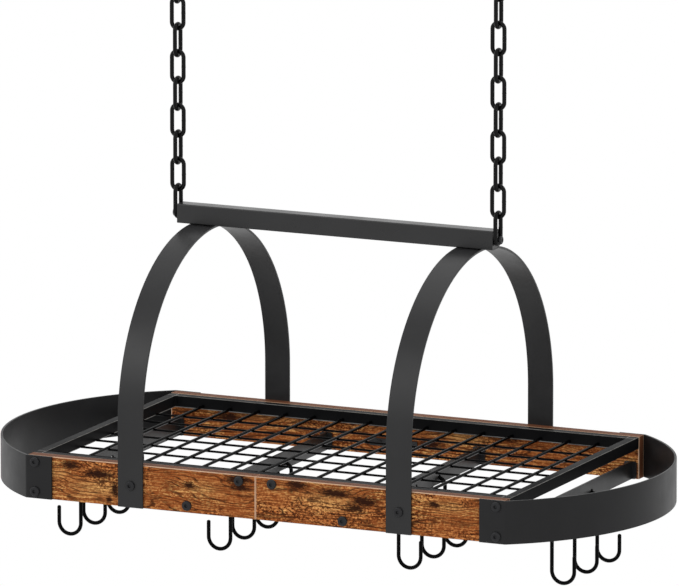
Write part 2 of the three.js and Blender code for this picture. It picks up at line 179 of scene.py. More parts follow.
class PotRackSizes(PropertyGroup):
    """The sizes of the rack that a maker would change"""

    overall_length: length("Length", "Length over both end bands", 900)
    overall_width: length("Width", "Width over the end bands' tabs", 446)
    rail_height: length("Rail height", "Height of the boards and the end bands", 56)
    bulge: length("Bulge", "How far each end band bows out past its bends", 115)
    gap: length("Gap", "Clearance between pieces that touch", 0.3)
    board_thickness: length("Board thickness", "Thickness of the boards", 15)
    board_edge: length("Board edge", "Rounding of the boards' edges", 0.8)
    board_end_gap: length("Board end gap", "Room between a board's end and the band's bend", 1.5)
    seam_place: length("Seam place", "Where the boards meet, along the rack", -13, min=-0.3)
    strip: length("Strip thickness", "Thickness of the flat steel", 3)
    tab_length: length("Tab length", "Length of an end band's tab along its board", 36)
    bend_radius: length("Bend radius", "Outer radius of the bend between a tab and its bow", 6)
    arch_width: length("Arch width", "Width of the strip of an arch", 35)
    arch_place: length("Arch place", "Distance of each arch from the middle", 187.5)
    arch_top: length("Arch top", "Height of an arch above the boards' lower edge", 329)
    bar_length: length("Bar length", "Length of the top bar", 444)
    bar_depth: length("Bar depth", "Depth of the top bar", 20)
    bar_height: length("Bar height", "Height of the top bar", 25)
    tube_width: length("Tube width", "Width of the shelf frame's tube", 12)
    tube_height: length("Tube height", "Height of the shelf frame's tube", 16)
    frame_end_room: length("Frame end room", "Room between the shelf frame and the bends", 1.5)
    depth_wire: length("Depth wire", "Diameter of the wires across the shelf", 4)
    depth_spacing: length("Depth wire spacing", "Spacing of the wires across the shelf", 40.2)
    long_wire: length("Long wire", "Diameter of the wires along the shelf", 3)
    long_spacing: length("Long wire spacing", "Spacing of the wires along the shelf", 45)
    cross_bar_place: length("Cross bar place", "Distance of the inner cross bars from the middle", 109)
    cross_bar_offset: length("Cross bar offset", "How far a cross bar stands beside its bolts", 1)
    cross_bar_height: length("Cross bar height", "Height of a cross bar", 23)
    cross_bar_tab: length("Cross bar tab", "Width of a cross bar's end tab", 17)
    hook_spacing: length("Hook spacing", "Spacing of the hooks along a cross bar", 72)
    hook_wire: length("Hook wire", "Diameter of the hooks' wire", 5)
    collar_radius: length("Collar radius", "Radius of a hook's upper bend", 9.5)
    bowl_radius: length("Bowl radius", "Radius of a hook's lower bend", 15.5)
    hook_shank: length("Hook shank", "Straight length between a hook's bends", 62.3)
    bolt_head: length("Bolt head", "Radius of a bolt's head", 6.5)
    bolt_shank: length("Bolt shank", "Radius of a bolt's shank", 2.5)
    chain_wire: length("Chain wire", "Diameter of the chain's wire", 5.5)
    chain_pitch: length("Chain pitch", "Inner length of a chain link", 35)
    chain_inner: length("Chain inner width", "Inner width of a chain link", 11)
    links: IntProperty(name="Links", description="Number of links in each chain", default=10, min=1)


class PotRackLooks(PropertyGroup):
    """The colours of the rack's finishes"""

    wood: colour("Board", "Main colour of the rustic boards", 192, 104, 50)
    wood_pale: colour("Pale patches", "Colour of the boards' pale patches", 248, 188, 114)
    wood_dark: colour("Dark grain", "Colour of the boards' grain lines and knots", 42, 15, 5)
    wood_edge: colour("Edge band", "Colour of the boards' edge banding", 132, 84, 58)
    wood_line: colour("Edge line", "Colour of the worn line along the boards' edges", 255, 214, 180)
    steel: colour("Steel", "Colour of the powder-coated steel", 37, 37, 38)
    tube: colour("Shelf frame", "Colour of the shelf frame's tube", 24, 24, 25)
    # painted highlight: the light colour of the lines along the shelf frame's corners
    highlit: colour("Highlit corners", "Colour of the shelf frame's rubbed corners", 150, 148, 144)
    bolt: colour("Bolts", "Colour of the bolts", 44, 44, 46)
    wire: colour("Wire", "Colour of the coated wire of hooks, chains and shelf", 6, 6, 7)


def sizes():
    """The sizes that the panel shows."""
    return bpy.context.scene.pot_rack_sizes


def looks():
    """The colours that the panel shows."""
    return bpy.context.scene.pot_rack_looks


class Layout:
    """Places that follow from the sizes."""

    def __init__(self):
        s = sizes()
        self.face = s.overall_width / 2
        self.board_face = self.face - s.strip - s.gap
        self.board_back = self.board_face - s.board_thickness
        self.board_middle = (self.board_face + self.board_back) / 2
        self.frame_face = self.board_back - s.gap
        self.band_radius = (self.face**2 + s.bulge**2) / (2 * s.bulge)
        self.band_centre = s.overall_length / 2 - self.band_radius
        self.bend = s.overall_length / 2 - s.bulge
        self.board_end = self.bend - s.board_end_gap
        self.tab_bolt = self.bend - TAB_BOLT_INSET
        self.frame_end = self.bend - s.frame_end_room
        self.frame_bottom = s.rail_height - s.tube_height
        self.cross_bars = [-self.tab_bolt, -s.cross_bar_place, s.cross_bar_place, self.tab_bolt]
        self.bar_bottom = s.arch_top + s.gap
        self.bar_bolt = self.bar_bottom + s.bar_height / 2
        self.chain_place = s.bar_length / 2 + s.gap + s.chain_wire / 2
        self.chain_start = self.bar_bolt - s.bolt_shank - s.gap
        self.hook_rows = [-s.hook_spacing, 0.0, s.hook_spacing]


def at(x, y, z):
    """A point of the rack, with z above the boards' lower edge."""
    return Vector((x, y, z + rail_bottom))


# ---- modelling ----
def choose(*pieces):
    """Selects the pieces alone, with the first of them active."""
    bpy.ops.object.select_all(action="DESELECT")
    for piece in pieces:
        piece.select_set(True)
    bpy.context.view_layer.objects.active = pieces[0]


def begin(name, primitive, place, **settings):
    """Adds one primitive alone, applies its place and opens it in edit mode, all selected."""
    bpy.ops.object.select_all(action="DESELECT")
    primitive(location=place, **settings)
    piece = bpy.context.object
    piece.name = piece.data.name = name
    bpy.ops.object.transform_apply(location=True, rotation=True, scale=True)
    bpy.ops.object.mode_set(mode="EDIT")
    bpy.ops.mesh.select_all(action="SELECT")
    return piece


def block(name, low, high):
    """A box from one corner to the other, open in edit mode."""
    low, high = Vector(low), Vector(high)
    return begin(name, bpy.ops.mesh.primitive_cube_add, (low + high) / 2, size=1, scale=high - low)


def rod(name, radius, start, end, sides=ROUND_SIDES):
    """A closed cylinder between two points, open in edit mode."""
    start, end = Vector(start), Vector(end)
    axis = end - start
    turn = axis.to_track_quat("Z", "Y").to_euler()
    shape = {"vertices": sides, "radius": radius, "depth": axis.length, "rotation": turn}
    return begin(name, bpy.ops.mesh.primitive_cylinder_add, (start + end) / 2, **shape)


def plain_rod(radius, start, end, sides=DRILL_SIDES):
    """A closed cylinder between two points, in object mode: a drill, or a wire of the grid."""
    piece = rod("plain_rod", radius, start, end, sides)
    bpy.ops.object.mode_set(mode="OBJECT")
    return piece


def disc(name, place, diameter):
    """A flat round section that a wire is drawn from, open in edit mode."""
    shape = {"vertices": WIRE_SIDES, "radius": diameter / 2, "fill_type": "NGON"}
    return begin(name, bpy.ops.mesh.primitive_circle_add, place, **shape)


def section(name, place, width, turn=(0, 0, 0)):
    """A flat four-sided section of the widths along X, Y and Z, open in edit mode."""
    piece = begin(name, bpy.ops.mesh.primitive_plane_add, place, size=1, rotation=turn)
    bpy.ops.transform.resize(value=width, center_override=place)
    return piece


def pick(piece, kind, test):
    """In edit mode, selects only the vertices, edges or faces that pass the test."""
    bpy.ops.mesh.select_mode(type=kind)
    bpy.ops.mesh.select_all(action="DESELECT")
    shape = bmesh.from_edit_mesh(piece.data)
    parts = {"VERT": shape.verts, "EDGE": shape.edges, "FACE": shape.faces}[kind]
    chosen = [part for part in parts if test(part)]
    for part in chosen:
        part.select_set(True)
    bmesh.update_edit_mesh(piece.data)
    if not chosen:
        raise RuntimeError(f"nothing was found to shape on {piece.name}")


def push(x=0.0, y=0.0, z=0.0):
    """Extrudes what is selected and moves it."""
    bpy.ops.mesh.extrude_region_move(TRANSFORM_OT_translate={"value": (x, y, z)})


def bevel(width, segments):
    """Rounds the selected edges."""
    bpy.ops.mesh.bevel(offset=width, segments=segments, affect="EDGES")


def round_along(piece, axis, width, segments):
    """Rounds the edges that run along the axis: x, y or z."""

    def runs_along(edge):
        run = edge.verts[1].co - edge.verts[0].co
        return abs(getattr(run, axis)) > 0.999 * run.length

    pick(piece, "EDGE", runs_along)
    bevel(width, segments)


def round_rims(piece, test, width, segments):
    """Rounds the rims of the faces that pass the test."""
    pick(piece, "FACE", test)
    bpy.ops.mesh.region_to_loop()
    bevel(width, segments)


def bend(centre, axis, degrees, steps):
    """Carries the selected section round the centre, right-handed about the axis."""
    bpy.ops.mesh.spin(steps=steps, angle=-math.radians(degrees), center=centre, axis=axis)


def close(piece):
    """Turns every face outwards and goes back to object mode."""
    bpy.ops.mesh.select_all(action="SELECT")
    bpy.ops.mesh.remove_doubles(threshold=1e-6)
    bpy.ops.mesh.normals_make_consistent(inside=False)
    bpy.ops.object.mode_set(mode="OBJECT")
    return piece


def apply(piece, kind, **settings):
    """Adds a modifier and applies it."""
    choose(piece)
    modifier = piece.modifiers.new(kind.lower(), kind)
    for key, value in settings.items():
        setattr(modifier, key, value)
    bpy.ops.object.modifier_apply(modifier=modifier.name)


def soften(piece, width, segments=3, angle=40):
    """Rounds a finished piece's sharp edges and shades it smooth."""
    limit = {"limit_method": "ANGLE", "angle_limit": math.radians(angle), "use_clamp_overlap": True}
    apply(piece, "BEVEL", width=width, segments=segments, **limit)
    return smooth(piece)


def smooth(piece, angle=35):
    """Shades round faces smooth and keeps flat faces flat."""
    choose(piece)
    bpy.ops.object.shade_smooth_by_angle(angle=math.radians(angle))
    apply(piece, "WEIGHTED_NORMAL", keep_sharp=True)
    return piece


def gather(name, pieces):
    """Joins pieces into one object."""
    choose(*pieces)
    bpy.ops.object.join()
    pieces[0].name = pieces[0].data.name = name
    return pieces[0]


def combine(piece, operation, tools):
    """Cuts the tools out of a piece all at once, or welds them on one by one, and removes them."""
    for tool in [gather("tool", tools)] if operation == "DIFFERENCE" else tools:
        apply(piece, "BOOLEAN", operation=operation, object=tool, solver="EXACT")
        remove(tool)
    return piece


def twin(piece, name, move):
    """A copy with a mesh of its own, placed by a matrix."""
    copy = piece.copy()
    copy.data = piece.data.copy()
    copy.name = copy.data.name = name
    copy.data.transform(move)
    bpy.context.scene.collection.objects.link(copy)
    return copy


def remove(piece):
    """Takes away a model or tool that has served."""
    bpy.data.objects.remove(piece, do_unlink=True)


def finish_piece(piece, slot, *nodes, body="rack", look=None):
    """Puts a piece under its body, hides the CAD nodes it stands for, and gives it the material of the
    look given, or else of its slot.
    """
    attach(piece, body)
    if nodes:
        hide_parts(*nodes)
    piece.data.materials.clear()
    piece.data.materials.append(finish_material(look or slot, *nodes))
    return piece


# ---- shader graphs ----
class Graph:
    """Adds nodes to one tree, with their values and links."""

    def __init__(self, tree):
        self.tree = tree

    def add(self, kind, inputs=(), **settings):
        """A node with its settings, and with its inputs' values or links."""
        node = self.tree.nodes.new(kind)
        for key, value in settings.items():
            setattr(node, key, value)
        for key, value in dict(inputs).items():
            if isinstance(value, bpy.types.NodeSocket):
                self.tree.links.new(value, node.inputs[key])
            else:
                node.inputs[key].default_value = value
        return node

    def math(self, operation, *values):
        return self.add("ShaderNodeMath", dict(enumerate(values)), operation=operation).outputs[0]

    def chain(self, operation, values):
        """One operation on the first two values, and then on the result and each next value."""
        return reduce(lambda total, value: self.math(operation, total, value), values)

    def plus(self, *values):
        return self.chain("ADD", values)

    def times(self, *values):
        return self.chain("MULTIPLY", values)

    def most(self, *values):
        return self.chain("MAXIMUM", values)

    def above(self, value, limit):
        return self.math("GREATER_THAN", value, limit)

    def below(self, value, limit):
        return self.math("LESS_THAN", value, limit)

    def distance(self, value, place):
        return self.math("ABSOLUTE", self.math("SUBTRACT", value, place))

    def vector(self, operation, *values, output="Vector"):
        node = self.add("ShaderNodeVectorMath", dict(enumerate(values)), operation=operation)
        return node.outputs[output]

    def noise(self, vector, stretch, detail=2.0, roughness=0.5, distortion=0.0, shift=None):
        """Noise with its scales in patches per metre, and a shift to elsewhere in the pattern."""
        if shift:
            vector = self.vector("ADD", vector, shift)
        scaled = self.vector("MULTIPLY", vector, stretch)
        inputs = {"Vector": scaled, "Scale": 1.0, "Detail": detail, "Roughness": roughness}
        inputs["Distortion"] = distortion
        return self.add("ShaderNodeTexNoise", inputs).outputs["Fac"]

    def ramp(self, value, low, high, start=0.0, end=1.0):
        """Eases from start to end as the value goes from low to high."""
        inputs = {0: value, 1: low, 2: high, 3: start, 4: end}
        return self.add("ShaderNodeMapRange", inputs, interpolation_type="SMOOTHSTEP").outputs[0]

    def mix(self, share, first, second, blend="MIX"):
        inputs = {0: share, 6: first, 7: second}
        return self.add("ShaderNodeMix", inputs, data_type="RGBA", blend_type=blend).outputs[2]

    def shade(self, colour_now, tone):
        """A colour made darker or lighter by a tone, where 1 leaves it as it is."""
        grey = self.add("ShaderNodeCombineXYZ", {0: tone, 1: tone, 2: tone}).outputs[0]
        return self.mix(1.0, colour_now, grey, "MULTIPLY")

    def parts(self, vector):
        return self.add("ShaderNodeSeparateXYZ", {0: vector}).outputs


def node_group(name, inputs, outputs):
    """Makes a function of a graph and its inputs, which gives the outputs, into one node group."""

    def sockets(tree, kinds, in_out):
        for label, kind in kinds.items():
            tree.interface.new_socket(label, in_out=in_out, socket_type=f"NodeSocket{kind}")

    def wrap(fill):
        def made_once():
            if name in bpy.data.node_groups:
                return bpy.data.node_groups[name]
            tree = bpy.data.node_groups.new(name, "ShaderNodeTree")
            sockets(tree, inputs, "INPUT")
            sockets(tree, outputs, "OUTPUT")
            g = Graph(tree)
            g.add("NodeGroupOutput", fill(g, g.add("NodeGroupInput").outputs))
            return tree

        return made_once

    return wrap


SPOT_INPUTS = {"Vector": "Vector", "Centre": "Vector", "Reach": "Vector"}
FINISH_OUTPUTS = {"Color": "Color", "Roughness": "Float", "Height": "Float"}
# noises of the boards: patches per metre along X, Y, Z, then detail, roughness, distortion, shift
KNOT_NOISE = ((190, 60, 620), 5, 0.7, 0.4)
GRAIN_NOISES = {
    "bulk": ((6, 5, 24), 1.5, 0.45, 0.4),
    "waver": ((34, 10, 170), 2, 0.5),
    "fade": ((14, 10, 70), 3, 0.6),
    "fibres": ((22, 300, 820), 4, 0.7),
    "stipple": ((330, 330, 480), 3, 0.75),
    "cracks": ((26, 200, 520), 4, 0.66, 0.3),
    "rough": ((12, 6, 22), 2, 0.5, 0.0, (7.3, 0, 2.9)),
    "pale": ((13, 6, 40), 3, 0.6, 0.5),
    "dusk": ((16, 6, 75), 5, 0.68, 0.6, (3.1, 0, 1.7)),
}
# from where to where in its noise each mark grows from nothing to its full strength
GRAIN_MARKS = {
    "fade": (0.32, 0.52),
    "cracks": (0.59, 0.64),
    "rough": (0.44, 0.6),
    "pale": (0.47, 0.62),
    "dusk": (0.55, 0.68),
}
# how much of the dark colour cracks, dusky patches and knots take, and the most that any place takes
CRACK_SHARE = 0.6
DUSK_SHARE = 0.7
DARKEST = 0.97
# the least tone that the speckle leaves
LEAST_TONE = 0.08
# how far noise eats into a knot, and where its rim begins and ends, as shares of its reach
KNOT_RAGGEDNESS = 1.8
KNOT_RIM = (1.2, 1.85)
WORN_NOISE = ((90, 90, 90), 3, 0.6)
STREAK_NOISE = ((30, 500, 30), 3, 0.6)
# noises of the coated steel, given in the same way
CLOUD_NOISE = ((18, 18, 18), 3, 0.6)
# noise that breaks up the painted highlight lines on the shelf frame
HIGHLIGHT_BREAK_NOISE = ((60, 60, 60), 3, 0.6)
# grain lines per metre, and how many lines each noise or oval moves them by
GRAIN_LINES = 190.0
BULK_LIFT = 13.0
WAVER_LIFT = 1.3
OVAL_LIFT = 3.2


def spot_share(g, given):
    """How far off a spot's centre a point is, as a share of the spot's reach."""
    return g.vector("DIVIDE", g.vector("SUBTRACT", given["Vector"], given["Centre"]), given["Reach"])


@node_group("rustic_knot", SPOT_INPUTS, {"Mask": "Float"})
def knot_group(g, given):
    """A soft dark spot with ragged ends along the grain."""
    ragged = g.times(g.noise(given["Vector"], *KNOT_NOISE), KNOT_RAGGEDNESS)
    reach = g.plus(g.vector("LENGTH", spot_share(g, given), output="Value"), ragged)
    return {"Mask": g.ramp(reach, *KNOT_RIM, 1.0, 0.0)}


@node_group("rustic_oval", SPOT_INPUTS, {"Swelling": "Float"})
def oval_group(g, given):
    """A soft swelling that turns the grain lines round it into pointed ovals."""
    share = spot_share(g, given)
    square = g.vector("DOT_PRODUCT", share, share, output="Value")
    return {"Swelling": g.math("EXPONENT", g.times(square, -1.0))}


@node_group(
    "rustic_grain",
    {"Vector": "Vector"}
    | dict.fromkeys(("Knots", "Ovals", "Glow"), "Float")
    | dict.fromkeys(("Main", "Pale", "Dark"), "Color"),
    FINISH_OUTPUTS,
)
def grain_group(g, given):
    """Rustic board: wavy grain lines, pale patches, dark streaks and fine speckle along X."""
    noise = {name: g.noise(given["Vector"], *values) for name, values in GRAIN_NOISES.items()}
    mark = {name: g.ramp(noise[name], *limits) for name, limits in GRAIN_MARKS.items()}
    fibres, stipple = noise["fibres"], noise["stipple"]
    # grain lines: contours of a long soft noise, drawn as thin dark lines that come and go
    lift = (g.times(noise["bulk"], BULK_LIFT), g.times(noise["waver"], WAVER_LIFT))
    phase = g.plus(g.times(g.parts(given["Vector"])["Z"], GRAIN_LINES), *lift)
    phase = g.math("SUBTRACT", phase, g.times(given["Ovals"], OVAL_LIFT))
    swing = g.math("SINE", g.times(phase, 2 * math.pi))
    lines = g.times(g.ramp(swing, 0.45, 0.95), mark["fade"])
    # pale patches, broken up by fibres and stipple, and golden ones
    glint = g.ramp(g.plus(fibres, stipple), 0.98, 1.14)
    pale = g.plus(g.times(mark["pale"], 0.6), 0.4)
    pale = g.times(pale, glint, 0.95)
    pale = g.most(pale, g.times(given["Glow"], g.ramp(glint, 0.0, 0.6, 0.35, 0.95)))
    colour_now = g.mix(pale, given["Main"], given["Pale"])
    # speckle, strongest in the rough patches
    specks = g.times(g.ramp(stipple, 0.38, 0.62, -0.6, 0.45), g.plus(0.25, mark["rough"]))
    tone = g.most(g.plus(g.ramp(fibres, 0.34, 0.66, 0.62, 1.25), specks), LEAST_TONE)
    colour_now = g.shade(colour_now, tone)
    # lines, cracks, dusky patches and knots
    dark = g.times(lines, g.ramp(stipple, 0.38, 0.58, 0.5, 0.92))
    dark = g.most(dark, g.times(mark["cracks"], CRACK_SHARE), g.times(mark["dusk"], DUSK_SHARE))
    dark = g.most(dark, g.times(given["Knots"], DARKEST))
    colour_now = g.mix(g.math("MINIMUM", dark, DARKEST), colour_now, given["Dark"])
    height = g.plus(g.times(lines, 0.5), mark["cracks"])
    height = g.math("SUBTRACT", g.times(fibres, 0.5), height)
    roughness = g.ramp(fibres, 0.3, 0.7, 0.62, 0.46)
    return {"Color": colour_now, "Roughness": roughness, "Height": height}


@node_group(
    "powder_coat",
    {"Vector": "Vector", "Color": "Color", "Roughness": "Float", "Grain": "Float"},
    FINISH_OUTPUTS,
)
def coat_group(g, given):
    """Powder coat: a fine orange-peel texture and faint cloudy sheen."""
    inputs = {"Vector": given["Vector"], "Scale": given["Grain"], "Detail": 2.0}
    peel = g.add("ShaderNodeTexNoise", inputs).outputs["Fac"]
    cloud = g.noise(given["Vector"], *CLOUD_NOISE)
    tone = g.plus(g.ramp(cloud, 0.3, 0.7, 0.9, 1.1), g.ramp(peel, 0.35, 0.65, -0.08, 0.08))
    rough = g.plus(given["Roughness"], g.ramp(cloud, 0.3, 0.7, -0.04, 0.05))
    return {"Color": g.shade(given["Color"], tone), "Roughness": rough, "Height": peel}


def new_material(name):
    """An empty material, its graph and its Object coordinates."""
    material = bpy.data.materials.new(name)
    material.use_nodes = True
    material.node_tree.nodes.clear()
    g = Graph(material.node_tree)
    return material, g, g.add("ShaderNodeTexCoord").outputs["Object"]


def surface(g, colour_now, finish, bump, reach, specular):
    """The shader of a material, with the roughness and the bump of a finish's group."""
    inputs = {"Height": finish["Height"], "Strength": bump, "Distance": reach}
    normal = g.add("ShaderNodeBump", inputs).outputs[0]
    inputs = {"Base Color": colour_now, "Roughness": finish["Roughness"], "Normal": normal}
    shader = g.add("ShaderNodeBsdfPrincipled", inputs | {"Specular IOR Level": specular})
    g.add("ShaderNodeOutputMaterial", {"Surface": shader.outputs[0]})


# each board's grain: how far it is taken from elsewhere in its pattern, in metres, and its knots,
# pointed ovals and golden patches, in millimetres: where along the rack and above the lower edge,
# then half the length and half the height
BOARD_GRAIN = {
    "front_left_board": {
        "shift": (0.0, 0.0, 0.0),
        "knots": [
            (-273, 47, 22, 8),
            (-233, 39, 34, 9),
            (-219, 7, 7, 6),
            (-211, 21, 8, 14),
            (-106, 36, 12, 7),
            (-38, 50, 26, 14),
            (-33, 39, 24, 6),
        ],
        "ovals": [(-138, 30, 44, 13), (-300, 20, 24, 12)],
        "glows": [(-236, 20, 46, 13), (-90, 33, 26, 9), (-300, 34, 26, 10)],
    },
    "front_right_board": {
        "shift": (1.37, 0.4, 0.21),
        "knots": [
            (45, 50, 24, 9),
            (99, 44, 38, 9),
            (139, 37, 30, 11),
            (126, 27, 18, 9),
            (235, 42, 14, 6),
        ],
        "ovals": [(14, 20, 26, 14), (282, 24, 36, 12)],
        "glows": [(86, 32, 44, 13), (254, 41, 30, 9)],
    },
    "back_left_board": {
        "shift": (2.61, 0.9, 0.53),
        "knots": [(-250, 30, 30, 10), (-120, 14, 26, 8), (-60, 44, 20, 8)],
        "ovals": [(-160, 28, 40, 13)],
        "glows": [(-200, 40, 40, 10)],
    },
    "back_right_board": {
        "shift": (4.05, 1.3, 0.78),
        "knots": [(40, 20, 28, 9), (150, 40, 34, 10), (270, 18, 24, 9)],
        "ovals": [(200, 30, 40, 13)],
        "glows": [(90, 34, 40, 12)],
    },
}


def gathered(g, place, tree, spots):
    """The strongest of one group's masks, placed at each of the spots."""
    masks = []
    for x, z, reach, height in spots:
        inputs = {"Vector": place, "Centre": at(x * MM, 0, z * MM)}
        inputs["Reach"] = (reach * MM, SPOT_DEPTH, height * MM)
        masks.append(g.add("ShaderNodeGroup", inputs, node_tree=tree).outputs[0])
    return g.most(*masks)


def board_material(name, board):
    """Rustic board with its own knots, edge-banded top and ends, and pale lines at its corners."""
    material, g, place = new_material(name)
    s, look, layout = sizes(), looks(), Layout()
    marks = BOARD_GRAIN[board]
    moved = g.add("ShaderNodeMapping", {"Vector": place, "Location": marks["shift"]})
    inputs = {
        "Vector": moved.outputs[0],
        "Knots": gathered(g, place, knot_group(), marks["knots"]),
        "Ovals": gathered(g, place, oval_group(), marks["ovals"]),
        "Glow": gathered(g, place, oval_group(), marks["glows"]),
        "Main": look.wood,
        "Pale": look.wood_pale,
        "Dark": look.wood_dark,
    }
    grain = g.add("ShaderNodeGroup", inputs, node_tree=grain_group()).outputs
    x, y, z = g.parts(place)
    top = s.rail_height + rail_bottom
    reach = g.math("ABSOLUTE", x)
    seam = g.below(g.distance(x, s.seam_place), s.gap / 2 + SEAM_LINE)
    line = g.most(g.above(z, top - EDGE_LINE), seam, g.above(reach, layout.board_end - EDGE_LINE))
    worn = g.ramp(g.noise(place, *WORN_NOISE), 0.25, 0.6, 0.75, 1.0)
    colour_now = g.mix(g.times(line, worn), grain["Color"], look.wood_line)
    banded = g.shade(look.wood_edge, g.ramp(g.noise(place, *STREAK_NOISE), 0.3, 0.7, 0.7, 1.15))
    colour_now = g.mix(g.above(z, top - EDGE_BAND), colour_now, banded)
    depth = g.distance(g.math("ABSOLUTE", y), layout.board_middle)
    corner = g.above(depth, s.board_thickness / 2 - EDGE_LINE)
    end_face = g.mix(corner, banded, look.wood_line)
    colour_now = g.mix(g.above(reach, layout.board_end - EDGE_BAND), colour_now, end_face)
    surface(g, colour_now, grain, bump=0.35, reach=0.3 * MM, specular=0.08)
    return material


# each coated finish: its colour, roughness, specular level and grains per metre
COATS = {
    "black_steel": ("steel", 0.36, 0.35, 2600),
    "band_steel": ("steel", 0.4, 0.2, 2600),
    "bar_steel": ("steel", 0.3, 0.42, 2600),
    "shelf_tube": ("tube", 0.4, 0.02, 3200),
    "shelf_wire": ("wire", 0.2, 0.03, 3600),
    "black_bolt": ("bolt", 0.3, 0.2, 4200),
    "black_hook": ("wire", 0.35, 0.05, 3600),
    "black_chain": ("wire", 0.26, 0.15, 3600),
}


def coated_material(name, finish):
    """Powder-coated steel or coated wire. The shelf frame's tube gets painted highlight lines at its
    corners.
    """
    material, g, place = new_material(name)
    tint, roughness, specular, grain = COATS[finish]
    inputs = {"Vector": place, "Color": getattr(looks(), tint)}
    inputs |= {"Roughness": roughness, "Grain": grain}
    coat = g.add("ShaderNodeGroup", inputs, node_tree=coat_group()).outputs
    colour_now = coat["Color"]
    # the shelf frame's tube: painted highlight lines along its corners, mixed into the coat's colour
    if finish == "shelf_tube":
        colour_now = g.mix(painted_corner_highlights(g, place), colour_now, looks().highlit)
    surface(g, colour_now, coat, bump=0.12, reach=0.05 * MM, specular=specular)
    return material


def painted_corner_highlights(g, place):
    """Painted highlight lines along the shelf frame's upper corners and lower inner corners."""
    s, layout = sizes(), Layout()
    x, y, z = g.parts(place)
    high = g.above(z, s.rail_height + rail_bottom - HIGHLIGHT_LINE)
    low = g.below(z, layout.frame_bottom + rail_bottom + 2 * HIGHLIGHT_LINE)
    lines = []
    for along, outer in ((x, layout.frame_end), (y, layout.frame_face)):
        reach = g.math("ABSOLUTE", along)
        outside = g.above(reach, outer - HIGHLIGHT_LINE)
        inside = g.below(g.distance(reach, outer - s.tube_width), HIGHLIGHT_LINE)
        lines += [g.times(g.most(outside, inside), high), g.times(inside, low)]
    return g.times(g.most(*lines), g.ramp(g.noise(place, *HIGHLIGHT_BREAK_NOISE), 0.3, 0.6, 0.5, 1.0))


def finish_material(finish, *nodes):
    """The material of a finish, made once. Each board has its own."""
    rustic = finish == "rustic_board"
    name = f"rustic_{nodes[0]}" if rustic else f"coated_{finish}"
    if name in bpy.data.materials:
        return bpy.data.materials[name]
    return board_material(name, *nodes) if rustic else coated_material(name, finish)


# ---- bolts ----
def model_bolt(head_radius, head_height, shank_radius, shank_length):
    """A low domed bolt with a six-sided socket. Its head points along +Z from a seat at 0."""
    piece = rod("bolt_model", head_radius, (0, 0, 0), (0, 0, head_height), HEAD_SIDES)
    pick(piece, "EDGE", lambda e: all(v.co.z > head_height / 2 for v in e.verts))
    bevel(head_height * BOLT_DOME, segments=5)
    pick(piece, "FACE", lambda f: f.normal.z < -0.9)
    bpy.ops.mesh.inset(thickness=head_radius - shank_radius)
    push(z=-shank_length)
    point = shank_radius * BOLT_POINT
    bpy.ops.mesh.inset(thickness=point, depth=point)
    close(piece)
    ends = (0, 0, head_height * SOCKET_SHARE), (0, 0, head_height * 2)
    combine(piece, "DIFFERENCE", [plain_rod(head_radius * SOCKET_SHARE, *ends, sides=6)])
    return smooth(piece, angle=40)


def bolt_turn(direction, place):
    """The matrix that points a bolt's head along a direction, with its seat at a place."""
    turn = Vector(direction).to_track_quat("Z", "Y").to_matrix().to_4x4()
    return Matrix.Translation(place) @ turn


# ---- operators ----
class POTRACK_OT_boards(Operator):
    """Four rustic boards with rounded edges and bolt holes"""

    bl_idname = "potrack.boards"
    bl_label = "Boards"

    def execute(self, context):
        s, place = sizes(), Layout()
        spans = {
            "left": (-place.board_end, s.seam_place - s.gap / 2),
            "right": (s.seam_place + s.gap / 2, place.board_end),
        }
        through = [(side * place.tab_bolt, z) for side in (-1, 1) for z in (LOW_BOLT, HIGH_BOLT)]
        for side in (-1, 1):
            through.append((side * s.cross_bar_place, LOW_BOLT))
            through.append((s.seam_place + side * SEAM_BOLT_OFFSET, HIGH_BOLT))
        for face, side in FACES.items():
            for half, (start, stop) in spans.items():
                name = f"{face}_{half}_board"
                low, high = sorted((side * place.board_back, side * place.board_face))
                piece = block(f"{name}_rounded", at(start, low, 0), at(stop, high, s.rail_height))
                round_along(piece, "x", s.board_edge, segments=3)
                round_rims(piece, lambda f: abs(f.normal.x) > 0.9, BOARD_END_EDGE, segments=2)
                close(piece)
                drills = []
                for x, z in through:
                    if start < x < stop:
                        ends = at(x, low - MM, z), at(x, high + MM, z)
                        drills.append(plain_rod(s.bolt_shank + s.gap, *ends))
                combine(piece, "DIFFERENCE", drills)
                smooth(piece, angle=30)
                finish_piece(piece, "rustic_board", name)
        return {"FINISHED"}


class POTRACK_OT_end_bands(Operator):
    """Two end bands, each one strip bent from its tabs round the bow"""

    bl_idname = "potrack.end_bands"
    bl_label = "End Bands"

    def execute(self, context):
        s, place = sizes(), Layout()
        tab_end = place.bend - s.tab_length
        corner_y = place.face - s.bend_radius
        corner_reach = math.sqrt((place.band_radius - s.bend_radius) ** 2 - corner_y**2)
        corner_x = place.band_centre + corner_reach
        bow = math.degrees(math.atan2(corner_y, corner_x - place.band_centre))
        middle_y = place.face - s.strip / 2
        start = at(tab_end, middle_y, s.rail_height / 2)
        piece = section("right_bowed_band", start, (1, s.strip, s.rail_height), (0, math.pi / 2, 0))
        push(x=corner_x - tab_end)
        bend(at(corner_x, corner_y, 0), (0, 0, 1), bow - 90, steps=6)
        bend(at(place.band_centre, 0, 0), (0, 0, 1), -2 * bow, BOW_STEPS)
        bend(at(corner_x, -corner_y, 0), (0, 0, 1), bow - 90, steps=6)
        push(x=tab_end - corner_x)
        close(piece)
        soften(piece, STRIP_EDGE)
        other = twin(piece, "left_bowed_band", Matrix.Rotation(math.pi, 4, "Z"))
        finish_piece(piece, "black_steel", "right_end_band", look="band_steel")
        finish_piece(other, "black_steel", "left_end_band", look="band_steel")
        return {"FINISHED"}


